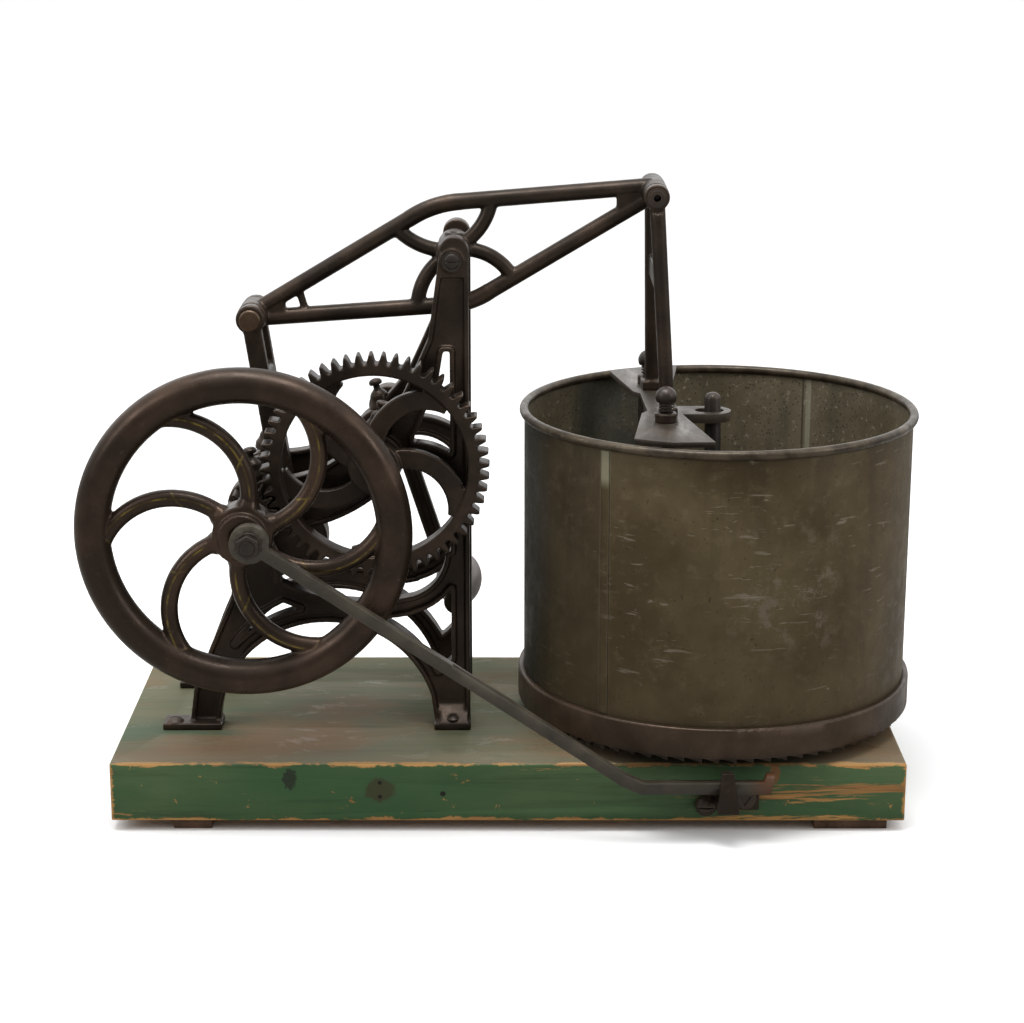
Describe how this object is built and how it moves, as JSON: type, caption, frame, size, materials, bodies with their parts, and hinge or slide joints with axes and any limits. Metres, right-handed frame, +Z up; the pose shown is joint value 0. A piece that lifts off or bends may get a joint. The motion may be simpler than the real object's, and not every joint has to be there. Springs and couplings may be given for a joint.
{
  "type": "meat chopper",
  "caption": "Hand-cranked walking-beam meat chopper: geared flywheel, rocking truss beam and fork-hung knife over a ratchet-turned drum, on a painted board.",
  "frame": {"origin": "middle of the machine's footprint on the floor, under the battens", "axes": "+X along the board from the flywheel end to the drum, +Y from the feed rod's side to the hand crank's side, +Z up"},
  "size_m": [0.6178, 0.4096, 0.4648],
  "materials": {
    "cast_iron": "dark brown-black worn paint over cast iron",
    "wheel_iron": "dark paint with worn yellow striping",
    "shaft_steel": "aged steel, dark brown film",
    "rod_steel": "grey-olive forged steel",
    "screw_steel": "rusty screws and nuts",
    "bronze_pin": "dull bronze",
    "crosshead_steel": "grey-brown worn steel",
    "blade_steel": "ground blade, stained",
    "drum_tin": "dull tinned sheet, streaked",
    "band_iron": "dark brown satin",
    "block_wood": "scarred end-grain wood",
    "painted_board": "worn green paint over softwood",
    "batten_wood": "reddish bare wood",
    "grip_wood": "polished turned wood"
  },
  "bodies": {
    "base": {"base_board": "painted_board", "base_battens": "batten_wood", "front_frame": "cast_iron", "rear_frame": "cast_iron", "foot_screws": "screw_steel", "bearing_oilers": "cast_iron", "beam_pivot": "shaft_steel", "pivot_nut": "screw_steel", "centre_post": "shaft_steel", "pivot_plate": "cast_iron", "pivot_plate_screws": "screw_steel", "rod_bracket": "band_iron", "bracket_screws": "screw_steel"},
    "drive": {"drive_gear": "cast_iron", "gear_shaft": "shaft_steel", "shaft_collar": "cast_iron", "crank_arm": "cast_iron", "crank_nut": "screw_steel", "handle_pin": "shaft_steel"},
    "grip": {"handle_grip": "grip_wood"},
    "flywheel": {"flywheel": "wheel_iron", "flywheel_shaft": "shaft_steel", "pinion": "cast_iron", "front_web": "cast_iron", "rear_web": "cast_iron", "eccentric_stud": "shaft_steel", "stud_washer": "screw_steel", "stud_nut": "screw_steel"},
    "push_rod": {"feed_rod": "rod_steel"},
    "beam": {"walking_beam": "cast_iron", "left_pin": "bronze_pin", "right_pin": "shaft_steel"},
    "pitman": {"pitman": "cast_iron", "crank_pin": "shaft_steel"},
    "chopper": {"chopper_fork": "cast_iron", "crosshead": "crosshead_steel", "adjusting_screws": "screw_steel", "knife_blade": "blade_steel", "knife_hangers": "crosshead_steel", "knife_rivets": "screw_steel"},
    "drum": {"drum_base": "band_iron", "drum_shell": "drum_tin", "rim_wire": "drum_tin", "shell_seam": "drum_tin", "chopping_block": "block_wood"}
  },
  "joints": [
    {"name": "flywheel_spin", "type": "hinge", "parent": "base", "child": "flywheel", "pos_m": [-0.1886, -0.10325, 0.2286], "axis": [0, 1, 0], "continuous": true},
    {"name": "gear_spin", "type": "hinge", "parent": "base", "child": "drive", "pos_m": [-0.0981, -0.04325, 0.2626], "axis": [0, 1, 0], "continuous": true},
    {"name": "grip_spin", "type": "hinge", "parent": "drive", "child": "grip", "pos_m": [-0.0435, 0.15475, 0.094], "axis": [0, 1, 0], "continuous": true},
    {"name": "rod_pivot", "type": "hinge", "parent": "flywheel", "child": "push_rod", "pos_m": [-0.1825, -0.19075, 0.2271], "axis": [0, 1, 0], "continuous": true},
    {"name": "drum_spin", "type": "hinge", "parent": "base", "child": "drum", "pos_m": [0.1581, -0.04325, 0.08], "axis": [0, 0, 1], "continuous": true},
    {"name": "beam_rock", "type": "hinge", "parent": "base", "child": "beam", "pos_m": [-0.0411, -0.04325, 0.4113], "axis": [0, 1, 0], "range_deg": [-1.7, 30]},
    {"name": "pitman_pivot", "type": "hinge", "parent": "beam", "child": "pitman", "pos_m": [-0.1911, -0.04325, 0.363], "axis": [0, 1, 0], "range_deg": [-30.5, 2.2]},
    {"name": "chopper_pivot", "type": "hinge", "parent": "beam", "child": "chopper", "pos_m": [0.1075, -0.04325, 0.4549], "axis": [0, 1, 0], "range_deg": [-30.5, 2.2]}
  ],
  "couplings": [
    {"joint": "gear_spin", "follows": "flywheel_spin", "ratio": -0.19643},
    {"joint": "rod_pivot", "follows": "flywheel_spin", "ratio": -1},
    {"joint": "pitman_pivot", "follows": "beam_rock", "ratio": -1},
    {"joint": "chopper_pivot", "follows": "beam_rock", "ratio": -1}
  ]
}
